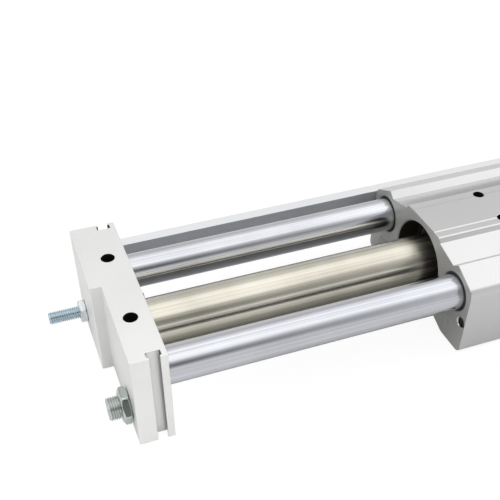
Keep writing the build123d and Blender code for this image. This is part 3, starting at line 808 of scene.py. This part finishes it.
# %% Bore the carriage
SLIDER_R, SLIDER_BREAK = 18.3 * MM, 0.5 * MM
BUSH_R, BUSH_BREAK = 9.0 * MM, 0.35 * MM
CLIP_GROOVE = (43.0 * MM, 44.5 * MM, 19.3 * MM)
STRIKE_R, STRIKE_DEPTH = 2.5 * MM, 8.0 * MM
SENSOR_R, SENSOR_DEPTH, SENSOR_BREAK = 2.4 * MM, 14.9 * MM, 0.45 * MM
SENSOR_Y, SENSOR_Z = SIDE - 3.2 * MM, ROD_Z - 10.9 * MM
TABLE_HOLE_R, TABLE_HOLE_DEPTH, TABLE_HOLES = 2.5 * MM, 5.0 * MM, (20.0 * MM, 10.0 * MM)
TABLE_TOP = ROD_Z + TABLE[1]
FACE_X = carriage_high[0]


def carriage_cutters():
    """Slider bore with its clip grooves, bush bores, screw and magnet holes, the table's holes."""
    groove_in, groove_out, groove_r = CLIP_GROOVE
    cutters = [through(-FACE_X, FACE_X, SLIDER_R, (0, TUBE_Z), break_edge=SLIDER_BREAK)]
    for y in (-ROD_Y, ROD_Y):
        cutters.append(through(-FACE_X, FACE_X, BUSH_R, (y, ROD_Z), break_edge=BUSH_BREAK))
    for way in (-1, 1):
        groove = [(way * groove_in, 0), (way * groove_in, groove_r),
                  (way * groove_out, groove_r), (way * groove_out, 0)]
        cutters.append(solid("cutter", turned(groove, (0, TUBE_Z), around=160)))
        for half in (-1, 1):
            cutters.append(drill(way * FACE_X, -way, STRIKE_DEPTH, STRIKE_R, (half * ROD_Y, STOP_Z)))
            cutters.append(drill(way * FACE_X, -way, SENSOR_DEPTH, SENSOR_R,
                                 (half * SENSOR_Y, SENSOR_Z), break_edge=SENSOR_BREAK))
            centre = (way * TABLE_HOLES[0], half * TABLE_HOLES[1])
            cutters.append(drill(TABLE_TOP, -1, TABLE_HOLE_DEPTH, TABLE_HOLE_R, centre, "z"))
    return cutters


carriage = solid("carriage_extrusion", extruded(carriage_section(), -FACE_X, FACE_X, RIM, "x"))
carve(carriage, carriage_cutters())
dress(carriage, "carriage_body", "carriage_aluminium", "shaded_carriage_face", "thread_shadow", "bore_shade")

# %% Finish the carriage's faces, bore and holes
SKIN, FACE, DARK, BORE_SHADE = 0, 1, 2, 3    # the order of the finishes above
GROOVE_REACH = 1.1 * MM                 # from the slider's bore to past the clip grooves
PAST_BREAK = 0.6 * MM                   # below a broken edge


def near_line(across, upward, middle, radius):
    """Mask of the faces within a radius of a line, from their two offsets and the line's."""
    return np.hypot(across - middle[0], upward - middle[1]) < radius


centres, normals = face_data(carriage)
along, across = np.abs(centres[:, 0]), np.abs(centres[:, 1])
upward = centres[:, 2]
in_bore = near_line(across, upward, (0, TUBE_Z), SLIDER_R + GROOVE_REACH)
in_table = near_line(along, across, TABLE_HOLES, TABLE_HOLE_R + NEARLY / 2)
in_sensor_hole = near_line(across, upward, (SENSOR_Y, SENSOR_Z), SENSOR_R + 3 * NEARLY)
# Painted shade darkens the slider's bore and the walls of the table's holes and sensor holes.
for mask, index in ((np.abs(normals[:, 0]) > 0.6, FACE),
                    (in_bore & (along < FACE_X - PAST_BREAK), BORE_SHADE),
                    (in_table & (upward < TABLE_TOP - PAST_BREAK), DARK),
                    (in_sensor_hole, SKIN),
                    (in_sensor_hole & (along < FACE_X - SENSOR_BREAK - NEARLY / 2), DARK)):
    paint(carriage, mask, index)
    print(int(mask.sum()), "faces take finish", index)
frame["nodes"]["sensor_magnet_plugs"].data.materials[0] = finish_of["dark_plug"]

# %% [markdown]
# The stops strike on hardened screws set flush in the carriage's faces. In the photograph they are
# the face's own grey, told only by the fine line of their chamfer and a shallow dish.

# %% Turn the strike screws
STRIKE_CHAMFER, DISH_R, DISH_DEPTH = 0.3 * MM, 1.3 * MM, 0.25 * MM


def strike_screw(way, half):
    """Skin of one flush screw: chamfered rim, flat land, shallow dish in the middle."""
    face, tail = way * FACE_X, way * (FACE_X - STRIKE_DEPTH)
    floor = face - way * DISH_DEPTH
    profile = [(tail, 0), (tail, STRIKE_R), (face - way * STRIKE_CHAMFER, STRIKE_R),
               (face, STRIKE_R - STRIKE_CHAMFER), (face, DISH_R), (floor, DISH_R / 2), (floor, 0)]
    return turned(profile, (half * ROD_Y, STOP_Z), around=48)


# The flush screws take the face's finish, whose darker tone is painted shade.
dress(solid("flush_screws", *[strike_screw(way, half) for way in (-1, 1) for half in (-1, 1)]),
      "strike_screws", "shaded_carriage_face")

# %% [markdown]
# ## Sensor rail
# A flat bar on the far side carries the position sensors in a slot along its outer face. Its
# section is an outline with that slot, and four counterbored screws hold it to the plates. The
# side that faces the carriage takes a darker copy of the rail's finish, which is painted shade.

# %% Extrude and drill the rail
RAIL_SLOT_OPENING, RAIL_SLOT_CAVITY = 3.2 * MM, 4.8 * MM
RAIL_SLOT_LIP, RAIL_SLOT_DEPTH = 1.2 * MM, 3.4 * MM
RAIL_SCREW_R, RAIL_HEAD_R, RAIL_HEAD_DEPTH = 1.7 * MM, 2.95 * MM, 2.0 * MM
RAIL_SCREW_GAP, RAIL_BREAK, RAIL_EDGE = 6.0 * MM, 0.2 * MM, 0.25 * MM
RAIL_MIDDLE = (rail_low[2] + rail_high[2]) / 2


def rail_section():
    """Rectangle with an undercut slot in its outer side."""
    inner_y, outer_y, middle = rail_low[1], rail_high[1], RAIL_MIDDLE
    lip, floor = outer_y - RAIL_SLOT_LIP, outer_y - RAIL_SLOT_DEPTH
    opening, cavity = RAIL_SLOT_OPENING / 2, RAIL_SLOT_CAVITY / 2
    slot = [(outer_y, -opening), (lip, -opening), (lip, -cavity), (floor, -cavity)]
    slot += [(y, -z) for y, z in reversed(slot)]
    points = [(inner_y, rail_low[2]), (outer_y, rail_low[2])]
    points += [(y, middle + z) for y, z in slot] + [(outer_y, rail_high[2]), (inner_y, rail_high[2])]
    return rounded(points, [RAIL_EDGE] * 2 + [SLOT_CORNER] * len(slot) + [RAIL_EDGE] * 2)


def rail_cutters():
    """Clearance holes and counterbores for the four screws, through the rail along Y."""
    cutters = []
    for x in (-(INNER_X + SLOT_CENTRE), INNER_X + SLOT_CENTRE):
        for z in (RAIL_MIDDLE - RAIL_SCREW_GAP, RAIL_MIDDLE + RAIL_SCREW_GAP):
            cutters.append(through(rail_low[1], rail_high[1], RAIL_SCREW_R, (x, z), "y", RAIL_BREAK))
            cutters.append(drill(rail_high[1], -1, RAIL_HEAD_DEPTH, RAIL_HEAD_R, (x, z), "y",
                                 RAIL_BREAK))
    return cutters


rail = solid("sensor_bar", extruded(rail_section(), rail_low[0], rail_high[0], RAIL_EDGE, "x"))
dress(carve(rail, rail_cutters()), "sensor_rail", "rail_aluminium", "shaded_rail_side")
centres, normals = face_data(rail)
# The side that faces the carriage gets painted shade.
paint(rail, (normals[:, 1] < -0.9) & (centres[:, 1] < rail_low[1] + RAIL_EDGE), 1)

# %% [markdown]
# ## Floor and light
# The photograph has a pure white ground and a studio's bands mirrored in the chrome: a wide soft
# box overhead, a paler ceiling beyond it, and a dark gap in front, low over the floor. The world
# paints those bands by direction, round the line of the rods, and the camera sees plain white.

# %% White floor that keeps a soft shadow
FLOOR_SIZE = 12.0
SEEN_GLOW, SEEN_MATT = 0.9, 0.16        # for the camera
MIRRORED_GLOW = 0.05                     # in metal
OPEN_MATT, SHADED_MATT = 0.76, 0.28      # in metal: beside the bars and under them
DIFFUSE_GLOW = 0.18                      # for matt surfaces
SHADE_ACROSS = (8.0 * MM, 48.0 * MM)     # where the shade under the bars fades, from the middle
SHADE_ALONG = (185.0 * MM, 215.0 * MM)
FLOOR_DROP = 0.05 * MM                   # keeps the floor clear of the plates' undersides


def floor_material():
    """White for the camera, and in mirrors a matt white that darkens under the object.

    The painted shadow is an eased step along X times one along Y, and only mirrored rays see it.
    """
    material = bpy.data.materials.new("studio_floor")
    material.use_nodes = True
    tree = material.node_tree
    tree.nodes.clear()
    rays = tree.nodes.new("ShaderNodeLightPath").outputs
    mirrored = calculate(tree, "MAXIMUM", rays["Is Glossy Ray"], rays["Is Transmission Ray"])
    glow = tree.nodes.new("ShaderNodeEmission")
    strength = product(tree, rays["Is Camera Ray"], SEEN_GLOW)
    for kind, share in ((mirrored, MIRRORED_GLOW), (rays["Is Diffuse Ray"], DIFFUSE_GLOW)):
        strength = calculate(tree, "ADD", strength, product(tree, kind, share))
    join(tree, strength, glow.inputs["Strength"])
    faint, matt = tree.nodes.new("ShaderNodeBsdfDiffuse"), tree.nodes.new("ShaderNodeBsdfDiffuse")
    faint.inputs["Color"].default_value = (SEEN_MATT, SEEN_MATT, SEEN_MATT, 1)
    place = tree.nodes.new("ShaderNodeSeparateXYZ")
    join(tree, tree.nodes.new("ShaderNodeTexCoord").outputs["Object"], place.inputs[0])
    # Painted shadow under the bars, for mirrored rays only.
    shade = mirrored
    for offset, (start, end) in zip(place.outputs, (SHADE_ALONG, SHADE_ACROSS)):
        distance = calculate(tree, "ABSOLUTE", offset, 0.0)
        shade = product(tree, shade, remap(tree, distance, start, end, 1.0, 0.0, smooth=True))
    join(tree, remap(tree, shade, 0.0, 1.0, OPEN_MATT, SHADED_MATT), matt.inputs["Color"])
    choice = tree.nodes.new("ShaderNodeMixShader")
    both = tree.nodes.new("ShaderNodeAddShader")
    end = tree.nodes.new("ShaderNodeOutputMaterial")
    join(tree, rays["Is Camera Ray"], choice.inputs["Fac"])
    join(tree, matt.outputs["BSDF"], choice.inputs[1])
    join(tree, faint.outputs["BSDF"], choice.inputs[2])
    join(tree, glow.outputs["Emission"], both.inputs[0])
    join(tree, choice.outputs["Shader"], both.inputs[1])
    join(tree, both.outputs["Shader"], end.inputs["Surface"])
    return material


half = FLOOR_SIZE / 2
sheet = bpy.data.meshes.new("floor")
rim = [(-half, -half, 0), (half, -half, 0), (half, half, 0), (-half, half, 0)]
sheet.from_pydata(rim, [], [(0, 1, 2, 3)])
floor = bpy.data.objects.new("floor", sheet)
floor.data.materials.append(floor_material())
floor.location.z = -FLOOR_DROP
bpy.context.scene.collection.objects.link(floor)

# %% The studio's bands in the world
# Angles are in degrees round X, from the front horizon up. Lean is the direction's share along X.
BOX_RISE, BOX_FALL, RISE_DELAY = (49.0, 66.0), (108.0, 146.0), 11.0
BOX_LIGHT, BACK_LIGHT, FRONT_LIGHT = 1.55, 0.84, 0.94
BACKGROUND_TURN = (30.0, 120.0)          # front light gives way to back light
GAP, GAP_DEEP, GAP_SHALLOW = (10.0, 34.0, 60.0), 0.92, 0.5
SEAM, SEAM_DEEP = (90.0, 99.0, 108.0), 0.18
HORIZON, HORIZON_DEEP = (148.0, 170.0, 192.0), 0.45
LEFT_LEAN, DELAY_LEAN = (0.14, 0.28), (0.2, 0.42)      # the bars' left end; where the delay grows
CARRIAGE_LEAN, CARRIAGE_BOX = (0.435, 0.46), 1.1       # past this lean only the carriage mirrors


def band(tree, angle, start, middle, end):
    """Eased hump over an angle: 0 before start and after end, 1 at the middle."""
    into = remap(tree, angle, start, middle, 0.0, 1.0, smooth=True)
    out = remap(tree, angle, middle, end, 1.0, 0.0, smooth=True)
    return product(tree, into, out)


def darkened(tree, light, amount):
    """The light less a share of itself."""
    return product(tree, light, calculate(tree, "SUBTRACT", 1.0, amount))


def studio_world():
    """World whose light depends on the direction's angle round X and its lean along X.

    It is the box where that shows, and front or back light elsewhere, less a share for the gap,
    the seam and the back horizon.
    """
    world = bpy.data.worlds.new("studio")
    world.use_nodes = True
    tree = world.node_tree
    tree.nodes.clear()
    direction = tree.nodes.new("ShaderNodeSeparateXYZ")
    join(tree, tree.nodes.new("ShaderNodeTexCoord").outputs["Generated"], direction.inputs[0])
    lean, across, upward = direction.outputs
    turn = calculate(tree, "ARCTAN2", upward, product(tree, across, -1.0))
    angle = product(tree, turn, 180 / math.pi)
    near = remap(tree, lean, *CARRIAGE_LEAN, 1.0, 0.0, smooth=True)
    delay = product(tree, remap(tree, lean, *DELAY_LEAN, 0.0, RISE_DELAY, smooth=True), near)
    rise = remap(tree, calculate(tree, "SUBTRACT", angle, delay), *BOX_RISE, 0.0, 1.0, smooth=True)
    box = product(tree, rise, remap(tree, angle, *BOX_FALL, 1.0, 0.0, smooth=True))
    power = remap(tree, near, 0.0, 1.0, BOX_LIGHT * CARRIAGE_BOX, BOX_LIGHT)
    ground = remap(tree, angle, *BACKGROUND_TURN, FRONT_LIGHT, BACK_LIGHT, smooth=True)
    light = calculate(tree, "ADD", product(tree, box, power), darkened(tree, ground, box))
    gap_depth = product(tree, remap(tree, lean, *LEFT_LEAN, GAP_DEEP, GAP_SHALLOW, smooth=True), near)
    seam_depth = remap(tree, lean, *LEFT_LEAN, SEAM_DEEP, 0.0, smooth=True)
    horizon_depth = remap(tree, near, 0.0, 1.0, HORIZON_DEEP, 0.0)
    for stretch, depth in ((GAP, gap_depth), (SEAM, seam_depth), (HORIZON, horizon_depth)):
        light = darkened(tree, light, product(tree, band(tree, angle, *stretch), depth))
    rays = tree.nodes.new("ShaderNodeLightPath").outputs
    seen = tree.nodes.new("ShaderNodeBackground")
    seen.inputs["Color"].default_value = (1, 1, 1, 1)
    studio = tree.nodes.new("ShaderNodeBackground")
    join(tree, light, studio.inputs["Strength"])
    choice = tree.nodes.new("ShaderNodeMixShader")
    end = tree.nodes.new("ShaderNodeOutputWorld")
    join(tree, rays["Is Camera Ray"], choice.inputs["Fac"])
    join(tree, studio.outputs["Background"], choice.inputs[1])
    join(tree, seen.outputs["Background"], choice.inputs[2])
    join(tree, choice.outputs["Shader"], end.inputs["Surface"])
    return world


bpy.context.scene.world = studio_world()

# %% A soft lamp on the near corner
LAMP_PLACE, LAMP_AIM = (-0.16, -0.36, 0.34), (-0.195, -0.045, 0.035)
LAMP_POWER, LAMP_SIZE = 3.6, 0.04
LAMP_CONE = math.radians(14)


def soft_spot(name, place, aim, power, size, cone):
    """Spot lamp with a fading rim, seen neither by the camera nor in mirrors."""
    data = bpy.data.lights.new(name, "SPOT")
    data.energy = power
    data.shadow_soft_size = size
    data.spot_size = cone
    data.spot_blend = 1.0
    lamp = bpy.data.objects.new(name, data)
    lamp.location = place
    lamp.rotation_euler = (Vector(aim) - Vector(place)).to_track_quat("-Z", "Y").to_euler()
    lamp.visible_camera = False
    lamp.visible_glossy = False
    bpy.context.scene.collection.objects.link(lamp)
    return lamp


soft_spot("near_corner_lamp", LAMP_PLACE, LAMP_AIM, LAMP_POWER, LAMP_SIZE, LAMP_CONE)
